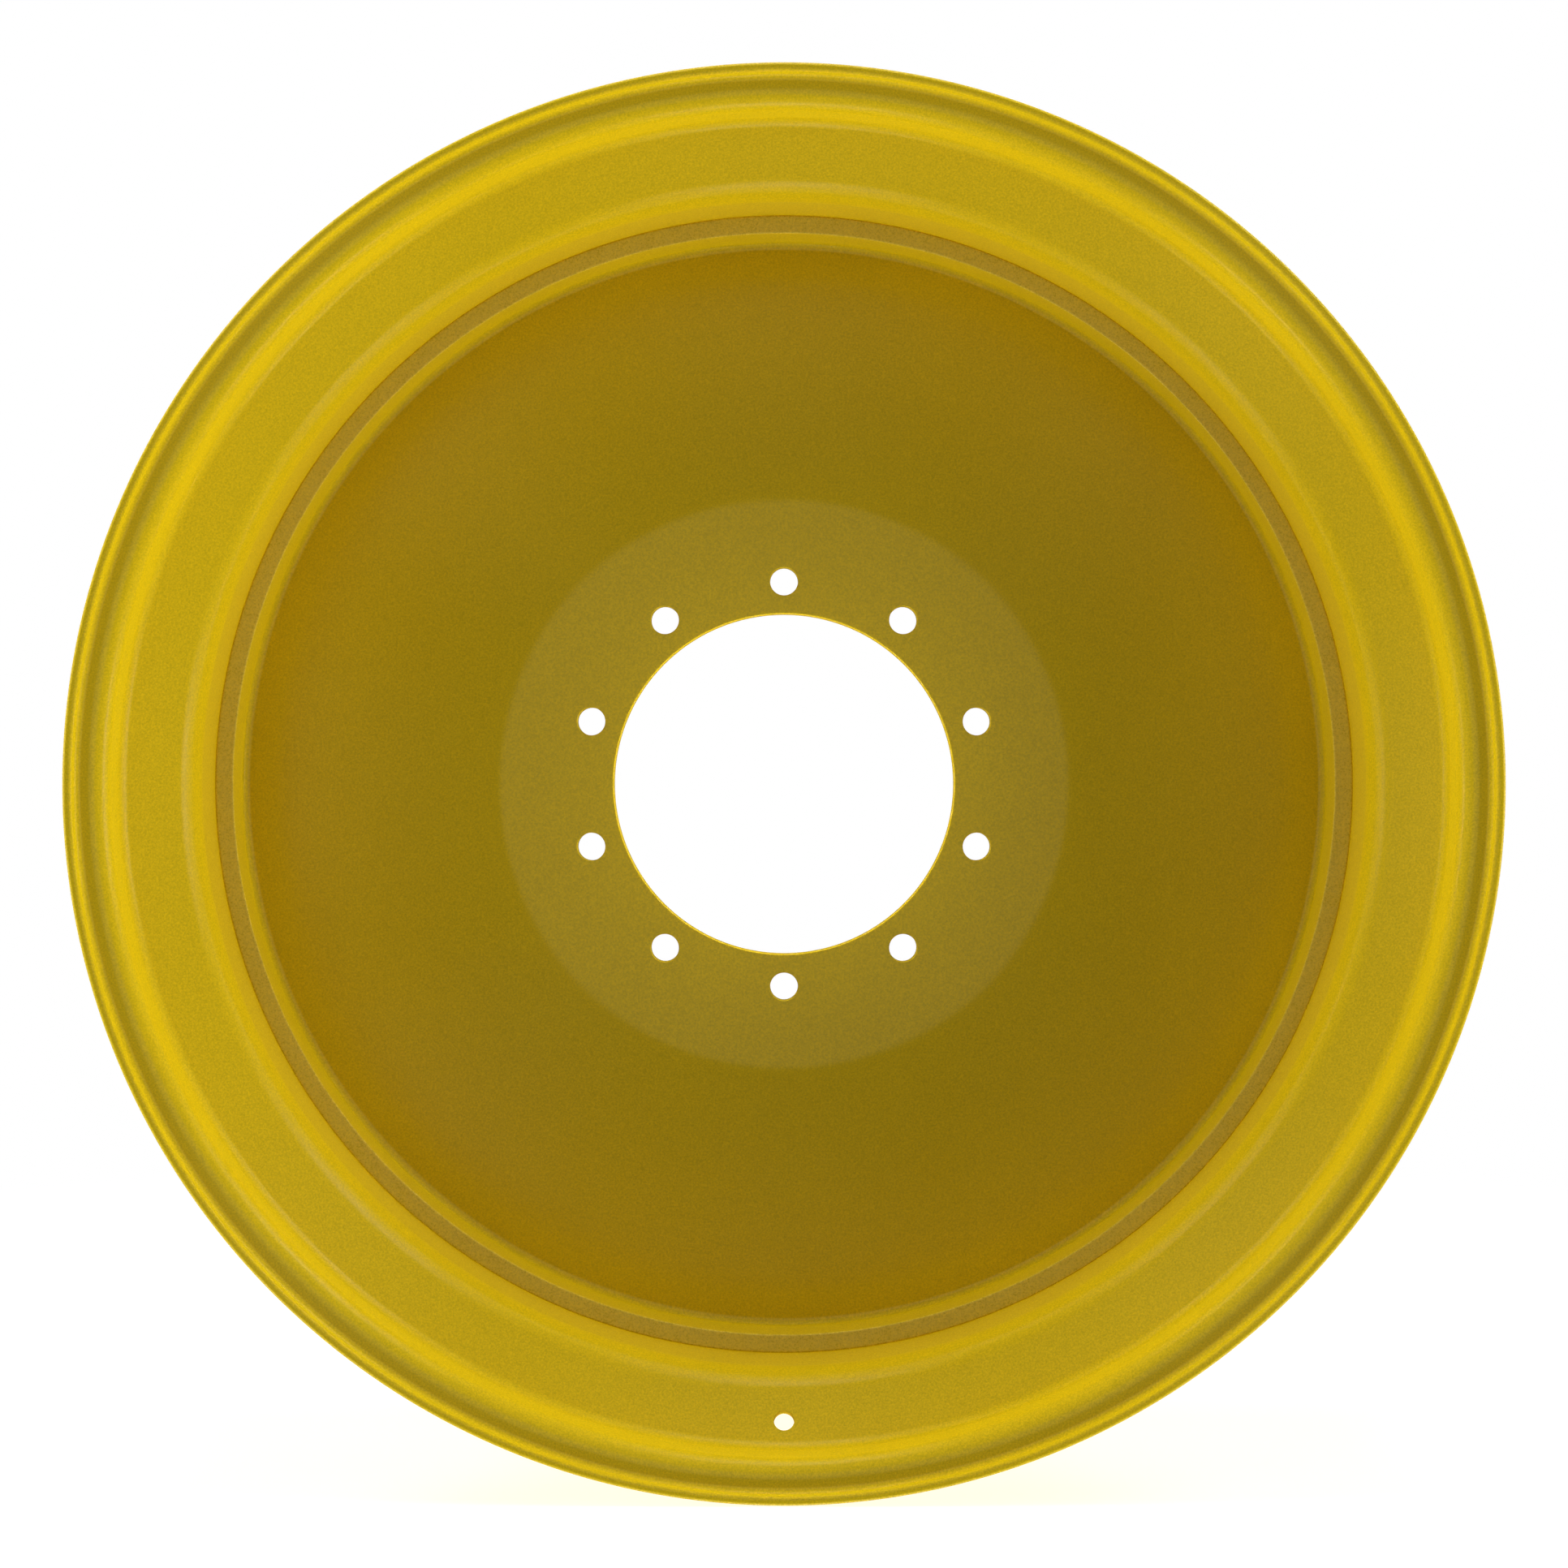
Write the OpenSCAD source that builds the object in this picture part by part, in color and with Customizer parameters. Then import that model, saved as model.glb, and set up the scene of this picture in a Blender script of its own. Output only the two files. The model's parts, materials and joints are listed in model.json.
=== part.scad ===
// Steel disc wheel for a farm machine: a rolled drop-centre rim with a dished disc welded inside it.
// The wheel spins about the Y axis. Its outer side faces -Y, and the valve hole is at the bottom, -Z.
// The origin is on the axis, halfway across the rim.

/* [Rim] */
// Nominal diameter, where the flange face and the bead seat meet
rim_d = 1066.8; // [960:0.1:1300]
// Width between the flange faces
rim_w = 304.8; // [250:0.1:400]
// Thickness of the rolled strip
strip_t = 7.5; // [5:0.1:9]
// Height of the flange over the nominal diameter
flange_h = 25.4; // [21:0.1:32]
// Radius of the flange's curl, on the tyre side
flange_r = 12.7; // [10:0.1:16]
// Reach of the flange's edge past the flange face
flange_reach = 16; // [13:0.1:22]
// Radius of the heel between flange and bead seat, on the tyre side
heel_r = 8; // [6:0.5:10]
// Width of the bead seat, from the flange face to its inner edge
seat_w = 30.2; // [25:0.1:40]
// Slope of the bead seat
seat_angle = 5; // [0:0.5:15]
// Radius of the bend from the bead seat into the well, on the tyre side
shoulder_r = 22.5; // [16:0.5:28]
// Slope of the well's side, measured from square to the axis
wall_angle = 32; // [15:1:40]
// Depth of the well under the nominal diameter
well_depth = 57.4; // [47:0.1:70]
// Radius of the bend at the bottom of the well, on the tyre side
well_bend_r = 24.5; // [16:0.5:30]
// Rounding of the strip's edges
strip_edge_r = 3; // [0.5:0.1:3.6]
// Width of the butt weld that closes the strip into a hoop
seam_w = 3; // [2:0.5:6]

/* [Valve hole] */
// Diameter of the valve hole
valve_d = 16; // [11:0.1:20]
// Drop of the hole's centre under the nominal diameter, on the open side of the strip
valve_drop = 29.3; // [24:0.1:36]

/* [Disc] */
// Thickness of the plate
disc_t = 15; // [10:0.5:18]
// Mounting face, measured outwards from the middle of the rim
face_offset = 0; // [-20:1:20]
// Diameter of the bore over the hub's spigot
bore_d = 281; // [220:1:300]
// Diameter of the stud circle
stud_pcd = 335; // [325:1:400]
// Number of studs
stud_n = 10; // [6:1:12]
// Diameter of a stud hole
stud_d = 23; // [18:0.5:28]
// Diameter of the flat hub face, before its edge is rounded
hub_d = 471; // [420:1:570]
// Radius of the bend at the edge of the hub face, on the outer side
hub_bend_r = 60; // [30:1:80]
// Slope of the dish between the hub face and the turned edge
dish_angle = 8.5; // [4:0.1:12]
// Inside radius of the bend from the dish into the turned edge
edge_bend_r = 6; // [3:0.5:10]
// Reach of the turned edge past the hub face
edge_reach = 8.8; // [4:0.1:30]
// Rounding of the plate's cut edges
disc_edge_r = 1.5; // [0.5:0.1:3]
// Clearance between the turned edge and the rim
disc_fit = 0.1; // [0:0.05:0.5]

/* [Disc weld] */
// Depth of the weld's root in the groove behind the edge bend
weld_root = 5; // [4:0.5:8]
// Depth at which the weld's face meets the rim
weld_leg = 18; // [15:0.5:24]
// Width of the weld's face, from the rim to the disc
weld_throat = 8; // [5:0.5:10]

/* [Hidden] */
$fn = 180;
// Turn of one step along a bend
bend_step = 7.5;
// Overrun of every cutting tool past the surface that it cuts
cut = 5;
paint = [0.80, 0.66, 0.06];
weld_paint = [0.72, 0.58, 0.05];

// Rim: corners of the tyre side of its outer half, as [radius, distance outwards], from the edge inwards.
// The well's side starts where the seat ends and runs down to the well's bottom.
rim_r = rim_d / 2;
flange_y = rim_w / 2;
seat_drop = seat_w * tan(seat_angle);
wall_run = (well_depth - seat_drop) * tan(wall_angle);
seat_end = [rim_r - seat_drop, flange_y - seat_w];
rim_half = [
    [rim_r + flange_h, flange_y + flange_reach],
    [rim_r + flange_h, flange_y],
    [rim_r, flange_y],
    seat_end,
    seat_end - [well_depth - seat_drop, wall_run]
];
rim_half_bends = [0, flange_r, heel_r, shoulder_r, well_bend_r];
rim_corners = concat(rim_half, [for (i = [4:-1:0]) [rim_half[i][0], -rim_half[i][1]]]);
rim_bends = concat(rim_half_bends, [for (i = [4:-1:0]) rim_half_bends[i]]);
well_inner_r = rim_r - well_depth - strip_t;

// Valve hole: its centre on the open face of the well's side, as [radius, distance outwards].
valve_r = rim_r - valve_drop;
valve_run = (seat_end[0] - strip_t * sin(wall_angle) - valve_r) * tan(wall_angle);
valve_y = seat_end[1] + strip_t * cos(wall_angle) - valve_run;

// Disc: corners of its outer side, from the bore to the turned edge.
disc_r = well_inner_r - disc_fit;
edge_inner_r = disc_r - disc_t;
hub_face_y = face_offset + disc_t;
dish_y = hub_face_y - (edge_inner_r - hub_d / 2) * tan(dish_angle);
disc_corners = [
    [bore_d / 2, hub_face_y],
    [hub_d / 2, hub_face_y],
    [edge_inner_r, dish_y],
    [edge_inner_r, hub_face_y + edge_reach]
];
disc_bends = [0, hub_bend_r, edge_bend_r, 0];
// Where the edge bend runs out into the turned edge: the groove behind it opens from here.
groove_y = dish_y + edge_bend_r * tan((90 + dish_angle) / 2);

function ray(angle, length) = length * [cos(angle), sin(angle)];
function heading(p, q) = atan2(q[1] - p[1], q[0] - p[0]);
function wrap(angle) = angle > 180 ? angle - 360 : (angle < -180 ? angle + 360 : angle);
function backwards(list) = [for (i = [len(list) - 1:-1:0]) list[i]];

// One bend of radius r at corner q, between p and s: a list of [point, heading].
function bend(p, q, s, r) =
    let (
        start = heading(p, q),
        turn = wrap(heading(q, s) - start),
        side = sign(turn),
        centre = q - ray(start, r * tan(abs(turn) / 2)) + ray(start + 90, side * r),
        steps = ceil(abs(turn) / bend_step)
    )
    [for (k = [0:steps]) let (h = start + turn * k / steps) [centre - ray(h + 90, side * r), h]];

// The cut end of a plate of thickness t, from its given side round to the other, with rounded edges.
// p is the corner on the given side, h the plate's heading there, and out the sense of the cut face.
function plate_end(p, h, out, t, r) =
    let (steps = ceil(90 / bend_step), e = ray(h, out), w = ray(h - 90, 1))
    concat(
        [for (k = [0:steps]) let (a = 90 * k / steps) p + (w - e) * r + r * (e * sin(a) - w * cos(a))],
        [for (k = [0:steps]) let (a = 90 * k / steps) p - e * r + w * (t - r) + r * (e * cos(a) + w * sin(a))]
    );

// Outline of a bent plate, given the corners and bend radii of the side on its left.
function plate(corners, radii, t, edge_r) =
    let (
        last = len(corners) - 1,
        bends = [for (i = [1:last - 1]) each bend(corners[i - 1], corners[i], corners[i + 1], radii[i])]
    )
    concat(
        [for (b = bends) b[0]],
        plate_end(corners[last], heading(corners[last - 1], corners[last]), 1, t, edge_r),
        backwards([for (b = bends) b[0] + ray(b[1] - 90, t)]),
        backwards(plate_end(corners[0], heading(corners[0], corners[1]), -1, t, edge_r))
    );

// Turns a section of [radius, distance outwards] about the wheel's axis.
module turned() { rotate([90, 0, 0]) rotate_extrude() children(); }

// Places a tool drawn along Z, in front of the wheel, onto the wheel's axis.
module facing() { rotate([90, 0, 0]) children(); }

module disc_section() { polygon(plate(disc_corners, disc_bends, disc_t, disc_edge_r)); }

module hoop() { turned() polygon(plate(rim_corners, rim_bends, strip_t, strip_edge_r)); }

// Slab across the strip at the top of the wheel, where its two ends meet.
module seam_slab() {
    top = rim_r + flange_h + cut;
    width = rim_w + 2 * (flange_reach + cut);
    translate([-seam_w / 2, -width / 2, 0]) cube([seam_w, width, top]);
}

module rim_barrel() {
    color(paint) difference() {
        hoop();
        seam_slab();
        facing() translate([0, -valve_r, valve_y]) rotate([-wall_angle, 0, 0])
            translate([0, 0, -strip_t - cut]) cylinder(d = valve_d, h = strip_t + 2 * cut);
    }
}

module rim_seam_weld() {
    color(weld_paint) intersection() {
        hoop();
        seam_slab();
    }
}

module wheel_disc() {
    color(paint) difference() {
        turned() disc_section();
        facing() for (k = [0:stud_n - 1]) rotate([0, 0, 90 + 360 * k / stud_n])
            translate([stud_pcd / 2, 0, face_offset - cut]) cylinder(d = stud_d, h = disc_t + 2 * cut);
    }
}

// Fills the groove between the disc's edge bend and the rim, on the inner side of the wheel.
module disc_weld() {
    disc_side_r = well_inner_r - weld_throat;
    face_slope = (weld_leg - weld_root) / 4;
    color(weld_paint) turned() difference() {
        polygon([
            [well_inner_r, groove_y - weld_root],
            [disc_side_r, groove_y - weld_root],
            [disc_side_r, groove_y - weld_leg + face_slope],
            [well_inner_r, groove_y - weld_leg]
        ]);
        disc_section();
    }
}

rim_barrel();
wheel_disc();
disc_weld();
rim_seam_weld();
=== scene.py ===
"""Farm disc wheel: its painted rim, disc and welds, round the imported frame, in a white studio."""
import json
import math

import bmesh
import bpy
from bpy.props import FloatProperty, FloatVectorProperty, IntProperty, PointerProperty
from mathutils import Matrix, Vector, noise


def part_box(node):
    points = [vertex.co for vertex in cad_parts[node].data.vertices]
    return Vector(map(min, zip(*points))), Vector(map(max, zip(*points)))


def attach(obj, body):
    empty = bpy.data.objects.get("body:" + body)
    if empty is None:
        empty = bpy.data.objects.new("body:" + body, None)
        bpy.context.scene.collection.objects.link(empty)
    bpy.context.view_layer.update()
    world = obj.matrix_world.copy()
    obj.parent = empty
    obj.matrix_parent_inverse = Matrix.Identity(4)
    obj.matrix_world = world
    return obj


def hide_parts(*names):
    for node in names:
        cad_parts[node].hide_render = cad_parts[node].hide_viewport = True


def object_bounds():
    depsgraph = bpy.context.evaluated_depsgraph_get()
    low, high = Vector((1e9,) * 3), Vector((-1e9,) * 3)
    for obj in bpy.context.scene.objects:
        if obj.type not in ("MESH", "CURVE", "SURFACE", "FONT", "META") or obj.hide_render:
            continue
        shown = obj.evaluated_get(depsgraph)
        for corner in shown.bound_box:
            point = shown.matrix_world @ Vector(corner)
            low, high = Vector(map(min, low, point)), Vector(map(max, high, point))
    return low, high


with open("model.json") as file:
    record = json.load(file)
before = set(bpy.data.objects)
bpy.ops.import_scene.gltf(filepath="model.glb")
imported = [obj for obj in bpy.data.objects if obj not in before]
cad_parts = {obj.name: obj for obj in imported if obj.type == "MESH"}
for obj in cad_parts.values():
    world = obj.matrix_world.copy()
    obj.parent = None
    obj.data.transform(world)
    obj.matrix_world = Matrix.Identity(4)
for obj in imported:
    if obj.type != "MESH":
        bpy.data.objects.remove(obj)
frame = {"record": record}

bl_info = {
    "name": "Farm Disc Wheel",
    "version": (1, 0, 0),
    "blender": (4, 5, 0),
    "location": "3D View > Sidebar > Wheel",
    "description": "Builds the painted rim, disc and welds of a farm disc wheel, and its studio",
    "category": "Add Mesh",
}

# What the frame gives: the CAD box, and the sizes and places that other parts fit.
CAD_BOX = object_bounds()
MOUNTS = {mount["name"]: mount for mount in frame["record"]["mounts"]}
RIM_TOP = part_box("rim_barrel")[1]
DISC_LOW, DISC_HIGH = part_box("wheel_disc")
HUB_FACE_Y = MOUNTS["nut_face"]["pos_m"][1]
MOUNTING_FACE_Y = MOUNTS["mounting_face"]["pos_m"][1]
BORE_R = MOUNTS["hub_bore"]["dims"]["r_mm"] / 1000
STUD_PCR = MOUNTS["studs"]["dims"]["pcd_mm"] / 2000
STUD_COUNT = MOUNTS["studs"]["dims"]["count"]
STUD_HOLE_R = MOUNTS["studs"]["dims"]["hole_r_mm"] / 1000
VALVE_AT = Vector(MOUNTS["valve_hole"]["pos_m"])
VALVE_AXIS = Vector(MOUNTS["valve_hole"]["axis"])
VALVE_R = MOUNTS["valve_hole"]["dims"]["r_mm"] / 1000
MM = 0.001

# Turns about the wheel's axis, and the one that brings a section to the top of the wheel.
FULL_TURN = 2 * math.pi
QUARTER_TURN = math.pi / 2
TOP = -QUARTER_TURN

# Rounding of the valve hole's edges, and how far a cutter reaches past the plate's faces.
VALVE_ROUNDING = 0.6 * MM
CUTTER_REACH = 0.03 * MM

# The paint's patterns, as noise scales in cells a metre.
GRAIN_SCALE = 700.0
FILM_SCALE = 5.0
PEEL_SCALE = 420.0
PATCH_SCALE = 70.0

# Where nearly all of a noise's values lie.
NOISE_LOW = 0.3
NOISE_HIGH = 0.7

# The ring weld: facets to a ripple, how fine the wander of its height is, and how far a ripple bows.
FACETS_A_RIPPLE = 5
WANDER_SCALE = 40
RIPPLE_BOW = 2.2

# The studio: floor and backdrop, where the floor fades to even white, and how white it is before that.
FLOOR_RADIUS = 14
BACKDROP_RADIUS = 15
FLOOR_GAP = 0.5 * MM
FADE_START = 0.6
FADE_END = 2.0
FLOOR_WHITE = 0.42
FLOOR_GLOW = 0.70


def length(name, description, default, low=0.0005, high=0.2):
    """A length in metres that a user can change."""
    return FloatProperty(
        name=name, description=description, default=default, min=low, max=high,
        precision=4, unit="LENGTH", subtype="DISTANCE",
    )


def slope(name, description, default):
    """An angle that a user can change, given in degrees."""
    return FloatProperty(
        name=name, description=description, default=math.radians(default),
        min=0.0, max=math.radians(60), subtype="ANGLE", unit="ROTATION",
    )


def share(name, description, default, high=1.0):
    """A plain number from nothing up to high."""
    return FloatProperty(name=name, description=description, default=default, min=0.0, max=high)


def watts(name, description, default):
    """A power that a user can change."""
    return FloatProperty(name=name, description=description, default=default, min=0.0, unit="POWER")


class RimShape(bpy.types.PropertyGroup):
    """Sizes of the rolled strip. Radii are on its tyre side."""

    thickness: length("Thickness", "Thickness of the rolled strip", 7.5 * MM)
    flange_height: length("Flange height", "Height of the flange over the bead seat", 25.4 * MM)
    flange_reach: length("Flange reach", "Reach of the flange's edge past its face", 16 * MM)
    flange_radius: length("Flange curl", "Radius of the flange's curl", 12.7 * MM)
    heel_radius: length("Heel", "Radius between the flange and the bead seat", 8 * MM)
    seat_width: length("Seat width", "Width of the bead seat", 30.2 * MM)
    seat_slope: slope("Seat slope", "Slope of the bead seat", 5)
    shoulder_radius: length("Shoulder", "Radius of the bend into the well", 22.5 * MM)
    wall_slope: slope("Wall slope", "Slope of the well's side, from square to the axis", 32)
    well_depth: length("Well depth", "Depth of the well under the nominal radius", 57.4 * MM)
    well_radius: length("Well bend", "Radius of the bend at the well's bottom", 24.5 * MM)
    edge_rounding: length("Edge rounding", "Rounding of the strip's cut edges", 3 * MM)
    seam_width: length("Seam width", "Width of the butt weld across the strip", 3 * MM)
    steps: IntProperty(name="Steps", description="Facets round the rim", default=320, min=48, max=400)


class DiscShape(bpy.types.PropertyGroup):
    """Sizes of the pressed disc. Radii are on its outer side."""

    hub_radius: length("Hub radius", "Radius of the flat hub face, before its edge", 235.5 * MM, high=0.4)
    hub_bend: length("Hub bend", "Radius of the bend at the edge of the hub face", 60 * MM)
    dish_slope: slope("Dish slope", "Slope of the dish", 8.5)
    edge_bend: length("Edge bend", "Inside radius of the bend into the turned edge", 6 * MM)
    edge_rounding: length("Edge rounding", "Rounding of the plate's cut edges", 1.5 * MM)
    hole_rounding: length("Hole rounding", "Rounding of the stud holes' edges", 0.8 * MM)
    steps: IntProperty(name="Steps", description="Facets round the disc", default=320, min=48, max=400)


class WeldShape(bpy.types.PropertyGroup):
    """Sizes of the ring weld between disc and rim."""

    root: length("Root", "Depth of the root in the groove", 5 * MM)
    leg: length("Leg", "Depth at which the face meets the rim", 18 * MM)
    throat: length("Throat", "Width of the face, from the rim to the disc", 8 * MM)
    bulge: length("Bulge", "How far the face stands over the line between its toes", 1.2 * MM)
    ripple: length("Ripple", "Height of one ripple", 0.35 * MM, low=0.0)
    ripples: IntProperty(
        name="Ripples", description="Ripples round the whole weld", default=480, min=60, max=900,
    )


class PaintLook(bpy.types.PropertyGroup):
    """Finish of the powder coat."""

    colour: FloatVectorProperty(
        name="Colour", description="Colour of the paint", subtype="COLOR", size=3,
        default=(0.74, 0.520, 0.0060), min=0.0, max=1.0,
    )
    # Painted highlight: a paler colour on the cut edges, and how strongly it shows there.
    edge_highlight_colour: FloatVectorProperty(
        name="Edge colour", description="Colour where the film is thin on cut edges", subtype="COLOR", size=3,
        default=(0.76, 0.58, 0.07), min=0.0, max=1.0,
    )
    edge_highlight: share("Edge wear", "How far the cut edges show the paler colour", 0.75)
    gloss: share("Gloss", "Specular level of the paint", 0.50)
    roughness: share("Roughness", "Roughness of the paint", 0.20)
    grain: share("Grain", "Strength of the fine grain in the colour", 0.16)
    peel: share("Orange peel", "Strength of the paint's surface texture", 0.08)


class StageLook(bpy.types.PropertyGroup):
    """Camera and light."""

    camera_distance: length("Camera distance", "From the hub face to the camera", 2.378, high=10.0)
    lens: FloatProperty(
        name="Lens", description="Focal length in millimetres", default=66.05, min=20, max=200,
    )
    ambient: share("Ambient", "Strength of the even light from all round", 0.04, high=5.0)
    lamp_distance: length("Lamp distance", "From the wheel's centre to each lamp", 2.7, high=10.0)
    lamp_size: length("Lamp size", "Width and height of each lamp", 0.9, high=3.0)
    panel_size: length("Panel size", "Width and height of the panel behind the camera", 1.7, high=3.0)
    panel_power: watts("Panel", "Power of the dim panel behind the camera, for the hub's sheen", 2.7)
    face_power: watts("Face ring", "Power of the ring of lamps round the camera", 14.5)
    front_power: watts("Front ring", "Power of the ring of lamps in front of the wheel", 97)
    side_power: watts("Side ring", "Power of the ring of lamps level with the wheel's front", 155)
    fill_power: watts("Fill ring", "Power of the ring of fill lamps far behind the wheel", 44)
    core_power: watts("Core lamp", "Power of the lamp in the bore, which lights the walls that face it", 1.0)


def heading_change(before, after):
    """Signed turn from one direction to the next, to the left positive, in the section's plane."""
    cross = before.x * after.y - before.y * after.x
    return math.atan2(cross, before.dot(after))


def on_the_right(direction):
    """Unit vector to the right of a direction in the section's plane."""
    return Vector((direction.y, -direction.x))


def bent_plate(corners, radii, thickness, rounding):
    """Outline of a bent plate as [(corner, radius, turn)], from the corners and bends of its left side."""
    runs = [(b - a).normalized() for a, b in zip(corners, corners[1:])]
    left = [(corners[0], rounding, QUARTER_TURN)]
    right = [(corners[0] + on_the_right(runs[0]) * thickness, rounding, QUARTER_TURN)]
    for corner, radius, before, after in zip(corners[1:-1], radii, runs, runs[1:]):
        turn = heading_change(before, after)
        normals = on_the_right(before) + on_the_right(after)
        far = corner + normals * thickness / (1 + before.dot(after))
        left.append((corner, radius, abs(turn)))
        right.append((far, radius + math.copysign(thickness, turn), abs(turn)))
    left.append((corners[-1], rounding, QUARTER_TURN))
    right.append((corners[-1] + on_the_right(runs[-1]) * thickness, rounding, QUARTER_TURN))
    return left + right[::-1]


def section_face(bm, outline, step=math.radians(9)):
    """Face of a section of [(corner, radius, turn)], in the plane z = 0, with its corners rounded.

    A corner's x is its radius from the wheel's axis, and its y the distance outwards, which is -Y.
    """
    verts = [bm.verts.new((corner.x, -corner.y, 0)) for corner, _, _ in outline]
    face = bm.faces.new(verts)
    for vert, (_, radius, turn) in zip(verts, outline):
        if radius > 0:
            bmesh.ops.bevel(
                bm, geom=[vert], offset=radius * math.tan(turn / 2), offset_type="OFFSET",
                segments=max(2, math.ceil(turn / step)), profile=0.5, affect="VERTICES", material=-1,
            )
    bm.faces.ensure_lookup_table()
    return bm.faces[0]


def spin_round(bm, face, steps, parts=16):
    """Turns a section right round the wheel's axis into a closed ring, by way of equal parts."""
    loop = list(face.edges) + list(face.verts)
    bmesh.ops.delete(bm, geom=[face], context="FACES_ONLY")
    bmesh.ops.spin(
        bm, geom=loop, cent=(0, 0, 0), axis=(0, 1, 0), angle=FULL_TURN / parts, steps=steps // parts,
        use_merge=False, use_duplicate=False,
    )
    part = list(bm.verts) + list(bm.edges) + list(bm.faces)
    bmesh.ops.spin(
        bm, geom=part, cent=(0, 0, 0), axis=(0, 1, 0), angle=FULL_TURN * (parts - 1) / parts,
        steps=parts - 1, use_merge=False, use_duplicate=True,
    )
    bmesh.ops.remove_doubles(bm, verts=bm.verts, dist=0.01 * MM)
    bmesh.ops.recalc_face_normals(bm, faces=bm.faces)


def spin_part(bm, face, start, sweep, steps):
    """Turns a section through part of a turn about the wheel's axis, closed by a face at each end."""
    bmesh.ops.rotate(bm, verts=face.verts, cent=(0, 0, 0), matrix=Matrix.Rotation(start, 3, "Y"))
    solid = [face] + list(face.edges) + list(face.verts)
    bmesh.ops.spin(
        bm, geom=solid, cent=(0, 0, 0), axis=(0, 1, 0), angle=sweep, steps=steps,
        use_merge=False, use_duplicate=False,
    )
    bmesh.ops.recalc_face_normals(bm, faces=bm.faces)


def as_piece(bm, name, material):
    """Object made from a bmesh, which is freed, with its place in its mesh."""
    mesh = bpy.data.meshes.new(name)
    bm.to_mesh(mesh)
    bm.free()
    piece = bpy.data.objects.new(name, mesh)
    bpy.context.scene.collection.objects.link(piece)
    if material:
        mesh.materials.append(material)
    return piece


def smoothed(piece, sharp=math.radians(40)):
    """Smooth shading that keeps flat faces flat, with edges over the given angle left sharp."""
    piece.data.shade_smooth()
    piece.data.set_sharp_from_angle(angle=sharp)
    weighted = piece.modifiers.new("Even normals", "WEIGHTED_NORMAL")
    weighted.mode = "FACE_AREA"
    weighted.keep_sharp = True


def hole_cutter(radius, thickness, rounding, places):
    """One object of spools that cut round holes with rounded edges, one for each placing matrix."""
    half = thickness / 2 + CUTTER_REACH
    flange = radius + 3 * rounding
    end = half + 2 * rounding
    outline = [
        (Vector((0, -end)), 0, 0),
        (Vector((flange, -end)), 0, 0),
        (Vector((flange, -half)), 0, 0),
        (Vector((radius, -half)), rounding, QUARTER_TURN),
        (Vector((radius, half)), rounding, QUARTER_TURN),
        (Vector((flange, half)), 0, 0),
        (Vector((flange, end)), 0, 0),
        (Vector((0, end)), 0, 0),
    ]
    cutter = bmesh.new()
    for place in places:
        spool = bmesh.new()
        spin_round(spool, section_face(spool, outline, step=math.radians(15)), steps=72, parts=1)
        bmesh.ops.transform(spool, matrix=place, verts=spool.verts)
        part = bpy.data.meshes.new("spool")
        spool.to_mesh(part)
        spool.free()
        cutter.from_mesh(part)
        bpy.data.meshes.remove(part)
    return as_piece(cutter, "hole_cutter", None)


def cut(piece, cutter):
    """Cuts the cutter out of the piece for good, and removes the cutter."""
    holes = piece.modifiers.new("Holes", "BOOLEAN")
    holes.operation = "DIFFERENCE"
    holes.solver = "EXACT"
    holes.object = cutter
    seen = piece.evaluated_get(bpy.context.evaluated_depsgraph_get())
    drilled = bpy.data.meshes.new_from_object(seen)
    piece.modifiers.clear()
    plain, piece.data = piece.data, drilled
    drilled.name = plain.name
    bpy.data.meshes.remove(plain)
    bpy.data.meshes.remove(cutter.data)


def stands_for(piece, node):
    """Puts a piece in place of a CAD node on the wheel's one body."""
    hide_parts(node)
    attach(piece, "root")


def rim_corners(shape):
    """Corners of the rim's tyre side, from its outer edge to its inner one, and their bend radii."""
    top, edge = RIM_TOP.z, RIM_TOP.y
    nominal = top - shape.flange_height
    face = edge - shape.flange_reach
    seat_drop = shape.seat_width * math.tan(shape.seat_slope)
    wall_drop = shape.well_depth - seat_drop
    seat_end = Vector((nominal - seat_drop, face - shape.seat_width))
    half = [
        Vector((top, edge)),
        Vector((top, face)),
        Vector((nominal, face)),
        seat_end,
        seat_end - Vector((wall_drop, wall_drop * math.tan(shape.wall_slope))),
    ]
    bends = [shape.flange_radius, shape.heel_radius, shape.shoulder_radius, shape.well_radius]
    mirrored = [Vector((corner.x, -corner.y)) for corner in reversed(half)]
    return half + mirrored, bends + bends[::-1]


def rim_section(shape):
    """A bmesh with the section of the rim's strip, the section's face, and the turn that its seam takes."""
    corners, bends = rim_corners(shape)
    bm = bmesh.new()
    face = section_face(bm, bent_plate(corners, bends, shape.thickness, shape.edge_rounding))
    return bm, face, shape.seam_width / RIM_TOP.z


def disc_corners(shape):
    """Corners of the disc's outer side, from the bore to the turned edge, and their bend radii."""
    thickness = MOUNTING_FACE_Y - HUB_FACE_Y
    inner_edge = DISC_HIGH.x - thickness
    hub_out = -HUB_FACE_Y
    dish_out = hub_out - (inner_edge - shape.hub_radius) * math.tan(shape.dish_slope)
    corners = [
        Vector((BORE_R, hub_out)),
        Vector((shape.hub_radius, hub_out)),
        Vector((inner_edge, dish_out)),
        Vector((inner_edge, -DISC_LOW.y)),
    ]
    return corners, [shape.hub_bend, shape.edge_bend], thickness


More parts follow.
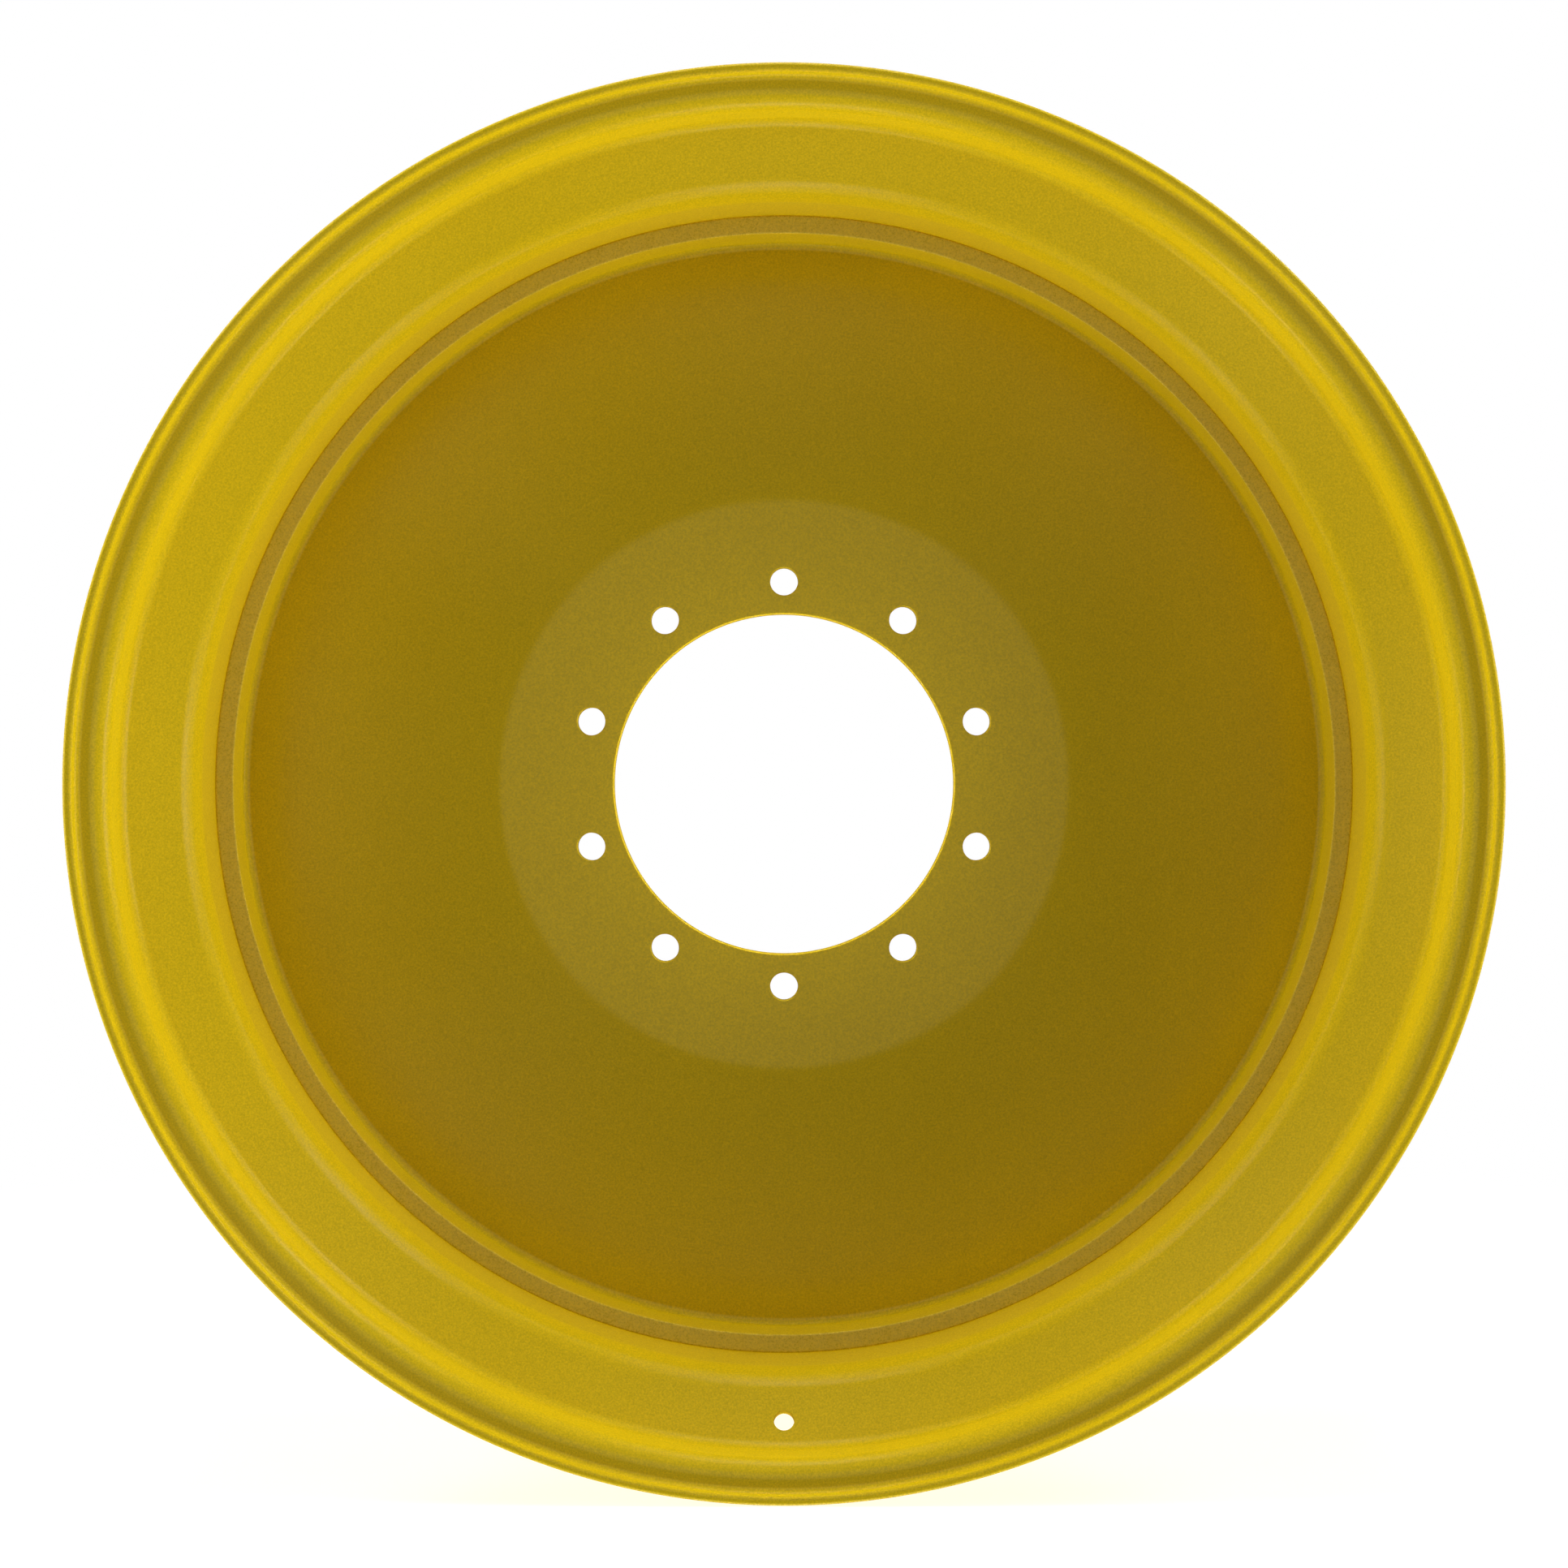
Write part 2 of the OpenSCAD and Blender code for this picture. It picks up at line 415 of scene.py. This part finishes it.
def weld_section(disc, weld):
    """Outline of the ring weld's section, and the toes of its face on the disc and on the rim."""
    corners, _, thickness = disc_corners(disc)
    bend_r = disc.edge_bend + thickness
    groove = corners[2].y + disc.edge_bend * math.tan((QUARTER_TURN + disc.dish_slope) / 2)
    bend_centre = Vector((DISC_HIGH.x - bend_r, groove))
    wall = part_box("disc_weld")[1].x
    root_angle = math.asin(weld.root / bend_r)
    toe_angle = math.acos(1 - weld.throat / bend_r)
    root, toe = (bend_centre + bend_r * Vector((math.cos(a), -math.sin(a))) for a in (root_angle, toe_angle))
    between = (toe_angle - root_angle) / 2
    middle = (root_angle + toe_angle) / 2
    reach = bend_r / math.cos(between)
    hidden = bend_centre + reach * Vector((math.cos(middle), -math.sin(middle)))
    rim_toe = Vector((wall, groove - weld.leg))
    across = (rim_toe - toe).normalized()
    crown = (rim_toe + toe) / 2 + on_the_right(across) * 2 * weld.bulge
    crown_turn = abs(heading_change(crown - toe, rim_toe - crown))
    crown_reach = 0.8 * (crown - toe).length
    outline = [
        (Vector((wall, root.y)), 0, 0),
        (root, 0, 0),
        (hidden, bend_r, 2 * between),
        (toe, 0, 0),
        (crown, crown_reach / math.tan(crown_turn / 2), crown_turn),
        (rim_toe, 0, 0),
    ]
    return outline, toe, rim_toe


def ripple_face(bm, weld, toe, rim_toe):
    """Raises ripples on the ring weld's face, which die away at its two toes."""
    across = (rim_toe - toe).normalized()
    for vert in bm.verts:
        flat = Vector((math.hypot(vert.co.x, vert.co.z), -vert.co.y))
        along = (flat - toe).dot(across) / (rim_toe - toe).length
        out = (flat - toe).dot(on_the_right(across))
        if out < 0.05 * MM or not 0.02 < along < 0.98:
            continue
        angle = math.atan2(vert.co.z, vert.co.x)
        phase = weld.ripples * angle + RIPPLE_BOW * (2 * along - 1) ** 2
        wave = math.sin(phase) + 0.35 * math.sin(2 * phase)
        wander = noise.noise(Vector((math.cos(angle), math.sin(angle), 0)) * WANDER_SCALE)
        lift = weld.ripple * (0.5 * wave + 0.8 * wander) * 4 * along * (1 - along)
        move = on_the_right(across) * lift
        spoke = Vector((vert.co.x, 0, vert.co.z)).normalized()
        vert.co += spoke * move.x + Vector((0, -move.y, 0))


def live(sockets, name):
    """The socket of that name which is in use, where a node keeps one for each kind of data."""
    return next(socket for socket in sockets if socket.name == name and socket.enabled)


def node_maker(material):
    """Returns the material's node tree, its shader, and a function that adds a node with its settings."""
    material.use_nodes = True
    tree = material.node_tree
    shader = tree.nodes["Principled BSDF"]

    def add(kind, inputs=None, **settings):
        node = tree.nodes.new(kind)
        for key, value in settings.items():
            setattr(node, key, value)
        for key, value in (inputs or {}).items():
            socket = node.inputs[key] if isinstance(key, int) else live(node.inputs, key)
            if isinstance(value, bpy.types.NodeSocket):
                tree.links.new(value, socket)
            else:
                socket.default_value = value
        return node

    return tree, shader, add


def ranged(add, value, start, end, low=0.0, high=1.0):
    """Output that goes from low to high as a value goes from start to end, and no further."""
    node = add("ShaderNodeMapRange", {
        "Value": value, "From Min": start, "From Max": end, "To Min": low, "To Max": high,
    })
    return node.outputs["Result"]


def rim_edge_highlight(add, place):
    """Mask, from 0 to 1, of a painted highlight on the outermost corners of the rim's two cut edges."""
    split = add("ShaderNodeSeparateXYZ", {"Vector": place})
    flat = add("ShaderNodeCombineXYZ", {"X": split.outputs["X"], "Y": split.outputs["Z"]})
    radius = add("ShaderNodeVectorMath", {0: flat.outputs["Vector"]}, operation="LENGTH")
    outer = ranged(add, radius.outputs["Value"], RIM_TOP.z - 2.5 * MM, RIM_TOP.z)
    far = add("ShaderNodeMath", {0: split.outputs["Y"]}, operation="ABSOLUTE")
    side = ranged(add, far.outputs["Value"], RIM_TOP.y - 5 * MM, RIM_TOP.y - 2 * MM)
    both = add("ShaderNodeMath", {0: outer, 1: side}, operation="MULTIPLY")
    return both.outputs["Value"]


def disc_edge_highlight(add, place):
    """Mask, from 0 to 1, of a painted highlight on the disc's turned edge."""
    split = add("ShaderNodeSeparateXYZ", {"Vector": place})
    return ranged(add, split.outputs["Y"], DISC_LOW.y + 1.6 * MM, DISC_LOW.y)


def no_edge_highlight(add, place):
    """Mask that is 0 all over: no painted highlight."""
    return 0.0


def powder_coat(name, look, edges=no_edge_highlight, rough=0.0):
    """Yellow powder coat.

    It has a fine grain, slow changes of film thickness, a light orange peel, and a painted highlight in a
    paler colour on cut edges.
    """
    material = bpy.data.materials.new(name)
    tree, shader, add = node_maker(material)
    place = add("ShaderNodeTexCoord").outputs["Object"]

    def pattern(scale, detail, roughness):
        node = add("ShaderNodeTexNoise", {
            "Vector": place, "Scale": scale, "Detail": detail, "Roughness": roughness,
        })
        return node.outputs["Fac"]

    grain = pattern(GRAIN_SCALE, 2.0, 0.6)
    film = pattern(FILM_SCALE, 3.0, 0.5)
    peel = pattern(PEEL_SCALE, 1.5, 0.5)
    patch_noise = pattern(PATCH_SCALE, 4.0, 0.65)
    fine = ranged(add, grain, NOISE_LOW, NOISE_HIGH, 1 - look.grain, 1 + look.grain)
    slow = ranged(add, film, NOISE_LOW, NOISE_HIGH, 0.98, 1.02)
    value = add("ShaderNodeMath", {0: fine, 1: slow}, operation="MULTIPLY")
    # Painted highlight: the paler colour mixed in on cut edges, stronger and weaker in patches.
    patches = ranged(add, patch_noise, 0.35, 0.65, 0.8 * look.edge_highlight, look.edge_highlight)
    painted_highlight = add("ShaderNodeMath", {0: edges(add, place), 1: patches}, operation="MULTIPLY")
    colour = add("ShaderNodeMix", {
        "Factor": painted_highlight.outputs["Value"], "A": (*look.colour, 1), "B": (*look.edge_highlight_colour, 1),
    }, data_type="RGBA")
    tint = add("ShaderNodeHueSaturation", {
        "Color": live(colour.outputs, "Result"), "Value": value.outputs["Value"],
    })
    base = look.roughness + rough
    matt = ranged(add, grain, NOISE_LOW, NOISE_HIGH, base - 0.04, base + 0.04)
    roughness = add("ShaderNodeMath", {0: painted_highlight.outputs["Value"], 1: 0.15, 2: matt}, operation="MULTIPLY_ADD")
    bump = add("ShaderNodeBump", {"Height": peel, "Strength": look.peel, "Distance": 0.25 * MM})
    tree.links.new(tint.outputs["Color"], shader.inputs["Base Color"])
    tree.links.new(roughness.outputs["Value"], shader.inputs["Roughness"])
    tree.links.new(bump.outputs["Normal"], shader.inputs["Normal"])
    shader.inputs["Specular IOR Level"].default_value = look.gloss
    return material


class WHEEL_OT_rim(bpy.types.Operator):
    """Builds the rim barrel, a hoop of rolled strip with its valve hole, open where its weld closes it"""

    bl_idname = "wheel.rim"
    bl_label = "Rim barrel"

    def execute(self, context):
        shape = context.scene.wheel_rim
        bm, face, gap = rim_section(shape)
        spin_part(bm, face, TOP + gap / 2, FULL_TURN - gap, shape.steps)
        barrel = as_piece(bm, "barrel", powder_coat("rim_coat", context.scene.wheel_paint, rim_edge_highlight))
        turn = VALVE_AXIS.to_track_quat("Y", "Z").to_matrix().to_4x4()
        place = Matrix.Translation(VALVE_AT) @ turn
        cut(barrel, hole_cutter(VALVE_R, shape.thickness, VALVE_ROUNDING, [place]))
        smoothed(barrel)
        stands_for(barrel, "rim_barrel")
        return {"FINISHED"}


class WHEEL_OT_seam(bpy.types.Operator):
    """Builds the butt weld that closes the rim's strip into a hoop, dressed flush with it"""

    bl_idname = "wheel.seam"
    bl_label = "Rim seam weld"

    def execute(self, context):
        shape = context.scene.wheel_rim
        bm, face, gap = rim_section(shape)
        spin_part(bm, face, TOP - gap / 2, gap, 2)
        seam = as_piece(bm, "seam_weld", powder_coat("seam_coat", context.scene.wheel_paint, rim_edge_highlight))
        smoothed(seam)
        stands_for(seam, "rim_seam_weld")
        return {"FINISHED"}


class WHEEL_OT_disc(bpy.types.Operator):
    """Builds the pressed disc with its bore, its ring of stud holes and its turned edge"""

    bl_idname = "wheel.disc"
    bl_label = "Wheel disc"

    def execute(self, context):
        shape = context.scene.wheel_disc
        corners, bends, thickness = disc_corners(shape)
        bm = bmesh.new()
        face = section_face(bm, bent_plate(corners, bends, thickness, shape.edge_rounding))
        spin_round(bm, face, shape.steps)
        disc = as_piece(bm, "centre_disc", powder_coat("disc_coat", context.scene.wheel_paint, disc_edge_highlight))
        outwards = Matrix.Translation((STUD_PCR, (HUB_FACE_Y + MOUNTING_FACE_Y) / 2, 0))
        places = [
            Matrix.Rotation(TOP + FULL_TURN * k / STUD_COUNT, 4, "Y") @ outwards
            for k in range(STUD_COUNT)
        ]
        cut(disc, hole_cutter(STUD_HOLE_R, thickness, shape.hole_rounding, places))
        smoothed(disc)
        stands_for(disc, "wheel_disc")
        return {"FINISHED"}


class WHEEL_OT_disc_weld(bpy.types.Operator):
    """Builds the rippled ring weld in the groove between the disc's edge bend and the rim"""

    bl_idname = "wheel.disc_weld"
    bl_label = "Disc weld"

    def execute(self, context):
        weld = context.scene.wheel_weld
        outline, toe, rim_toe = weld_section(context.scene.wheel_disc, weld)
        bm = bmesh.new()
        spin_round(bm, section_face(bm, outline, step=math.radians(4)), weld.ripples * FACETS_A_RIPPLE)
        ripple_face(bm, weld, toe, rim_toe)
        bead = as_piece(bm, "ring_weld", powder_coat("weld_coat", context.scene.wheel_paint, rough=0.08))
        smoothed(bead, math.radians(60))
        stands_for(bead, "disc_weld")
        return {"FINISHED"}


def glow(name, strength):
    """Plain white emission."""
    material = bpy.data.materials.new(name)
    material.use_nodes = True
    tree = material.node_tree
    tree.nodes.clear()
    light = tree.nodes.new("ShaderNodeEmission")
    light.inputs["Strength"].default_value = strength
    out = tree.nodes.new("ShaderNodeOutputMaterial")
    tree.links.new(light.outputs["Emission"], out.inputs["Surface"])
    return material


def white_floor(name):
    """Matt white that fades into an evenly lit white away from the middle."""
    material = bpy.data.materials.new(name)
    material.use_nodes = True
    tree = material.node_tree
    tree.nodes.clear()
    node, link = tree.nodes.new, tree.links.new
    place = node("ShaderNodeTexCoord")
    distance = node("ShaderNodeVectorMath")
    distance.operation = "LENGTH"
    fade = node("ShaderNodeMapRange")
    fade.inputs["From Min"].default_value = FADE_START
    fade.inputs["From Max"].default_value = FADE_END
    matt = node("ShaderNodeBsdfDiffuse")
    matt.inputs["Color"].default_value = (FLOOR_WHITE, FLOOR_WHITE, FLOOR_WHITE, 1)
    lift = node("ShaderNodeEmission")
    lift.inputs["Strength"].default_value = FLOOR_GLOW
    both = node("ShaderNodeAddShader")
    even = node("ShaderNodeEmission")
    even.inputs["Strength"].default_value = 1.0
    mix = node("ShaderNodeMixShader")
    out = node("ShaderNodeOutputMaterial")
    link(place.outputs["Object"], distance.inputs[0])
    link(distance.outputs["Value"], fade.inputs["Value"])
    link(matt.outputs["BSDF"], both.inputs[0])
    link(lift.outputs["Emission"], both.inputs[1])
    link(fade.outputs["Result"], mix.inputs["Fac"])
    link(both.outputs["Shader"], mix.inputs[1])
    link(even.outputs["Emission"], mix.inputs[2])
    link(mix.outputs["Shader"], out.inputs["Surface"])
    return material


def soft_light(name, look, off_axis, round_axis, power, size=None):
    """Square lamp that faces the wheel's centre.

    Its place is off_axis from the line to the camera and round_axis from the right, both in degrees.
    """
    off, turn = math.radians(off_axis), math.radians(round_axis)
    spot = Vector((math.sin(off) * math.cos(turn), -math.cos(off), math.sin(off) * math.sin(turn)))
    lamp = bpy.data.lights.new(name, "AREA")
    lamp.size = size or look.lamp_size
    lamp.energy = power
    holder = bpy.data.objects.new(name, lamp)
    holder.location = spot * look.lamp_distance
    holder.rotation_euler = (-spot).to_track_quat("-Z", "Y").to_euler()
    bpy.context.scene.collection.objects.link(holder)
    return holder


def core_light(name, look):
    """Lamp in the middle of the bore that casts no shadow, and so reaches the walls that face the axis."""
    lamp = bpy.data.lights.new(name, "POINT")
    lamp.energy = look.core_power
    lamp.shadow_soft_size = 0.05
    lamp.use_shadow = False
    holder = bpy.data.objects.new(name, lamp)
    holder.location = (0, (HUB_FACE_Y + MOUNTING_FACE_Y) / 2, 0)
    holder.visible_camera = False
    holder.visible_glossy = False
    bpy.context.scene.collection.objects.link(holder)


def lamp_ring(name, look, power, off_axis, lean=0.0, towards=0.0, shadows=True, count=8):
    """Ring of lamps that share a power, with more of it on the side that it leans towards.

    Its angle off the line to the camera and the side that it leans towards are in degrees. The lamps don't
    show in the paint's gloss, so that a ring gives the even light of one large soft source.
    """
    for k in range(count):
        turn = 360 * k / count
        part = power / count * (1 + lean * math.cos(math.radians(turn - towards)))
        holder = soft_light(f"{name}_{k}", look, off_axis, turn, part)
        holder.data.use_shadow = shadows
        holder.visible_glossy = False


def studio_screens():
    """White floor just under the wheel, and white backdrop all round. Neither lights or shades the wheel."""
    bm = bmesh.new()
    bmesh.ops.create_circle(bm, cap_ends=True, segments=64, radius=FLOOR_RADIUS)
    bmesh.ops.translate(bm, verts=bm.verts, vec=(0, 0, CAD_BOX[0].z - FLOOR_GAP))
    floor = as_piece(bm, "floor", white_floor("floor_white"))

    bm = bmesh.new()
    bmesh.ops.create_icosphere(bm, subdivisions=4, radius=BACKDROP_RADIUS)
    bmesh.ops.reverse_faces(bm, faces=bm.faces)
    backdrop = as_piece(bm, "backdrop", glow("backdrop_white", 1.0))

    for screen in (floor, backdrop):
        screen.visible_diffuse = False
        screen.visible_glossy = False
        screen.visible_shadow = False
    return floor, backdrop


def studio_lights(look):
    """Even light from all round, the sheen panel, four rings of lamps and the lamp in the bore."""
    world = bpy.data.worlds.new("studio")
    world.use_nodes = True
    background = world.node_tree.nodes["Background"]
    background.inputs["Color"].default_value = (1, 1, 1, 1)
    background.inputs["Strength"].default_value = look.ambient
    bpy.context.scene.world = world

    soft_light("panel_lamp", look, 0, 0, look.panel_power, look.panel_size)
    lamp_ring("face_lamp", look, look.face_power, off_axis=42, lean=0.6, towards=150)
    lamp_ring("front_lamp", look, look.front_power, off_axis=77, lean=0.7, towards=-23)
    lamp_ring("side_lamp", look, look.side_power, off_axis=86, lean=0.5, towards=157)
    lamp_ring("fill_lamp", look, look.fill_power, off_axis=150, shadows=False)
    core_light("core_lamp", look)


def studio_camera(look):
    """Camera on the wheel's axis, square to the hub face."""
    lens = bpy.data.cameras.new("camera")
    lens.lens = look.lens
    lens.sensor_width = 36
    lens.clip_end = 100
    camera = bpy.data.objects.new("camera", lens)
    camera.location = (0, HUB_FACE_Y - look.camera_distance, 0)
    camera.rotation_euler = (QUARTER_TURN, 0, 0)
    scene = bpy.context.scene
    scene.collection.objects.link(camera)
    scene.camera = camera
    scene.view_settings.view_transform = "Standard"


class WHEEL_OT_stage(bpy.types.Operator):
    """Builds the white floor and backdrop, the soft lights and the camera"""

    bl_idname = "wheel.stage"
    bl_label = "Studio"

    def execute(self, context):
        look = context.scene.wheel_stage
        floor, backdrop = studio_screens()
        studio_lights(look)
        studio_camera(look)
        return {"FINISHED"}


class WHEEL_PT_panel(bpy.types.Panel):
    """Sizes, finish and build buttons in the 3D view's sidebar"""

    bl_label = "Farm disc wheel"
    bl_idname = "WHEEL_PT_panel"
    bl_space_type = "VIEW_3D"
    bl_region_type = "UI"
    bl_category = "Wheel"

    def draw(self, context):
        for key in GROUPS:
            box = self.layout.box()
            box.label(text=key.replace("wheel_", "").capitalize())
            group = getattr(context.scene, key)
            for name in group.__annotations__:
                box.prop(group, name)
        for operator in OPERATORS:
            self.layout.operator(operator.bl_idname)


GROUPS = {
    "wheel_rim": RimShape,
    "wheel_disc": DiscShape,
    "wheel_weld": WeldShape,
    "wheel_paint": PaintLook,
    "wheel_stage": StageLook,
}
OPERATORS = (WHEEL_OT_stage, WHEEL_OT_rim, WHEEL_OT_seam, WHEEL_OT_disc, WHEEL_OT_disc_weld)


def register():
    """Registers the classes and gives the scene its property groups."""
    for cls in (*GROUPS.values(), *OPERATORS, WHEEL_PT_panel):
        bpy.utils.register_class(cls)
    for key, group in GROUPS.items():
        setattr(bpy.types.Scene, key, PointerProperty(type=group))


def unregister():
    """Takes back what register did."""
    for key in GROUPS:
        delattr(bpy.types.Scene, key)
    for cls in (WHEEL_PT_panel, *reversed(OPERATORS), *reversed(GROUPS.values())):
        bpy.utils.unregister_class(cls)


def main():
    """Builds the wheel and its studio."""
    register()
    bpy.ops.wheel.stage()
    bpy.ops.wheel.rim()
    bpy.ops.wheel.seam()
    bpy.ops.wheel.disc()
    bpy.ops.wheel.disc_weld()


if __name__ == "__main__":
    main()
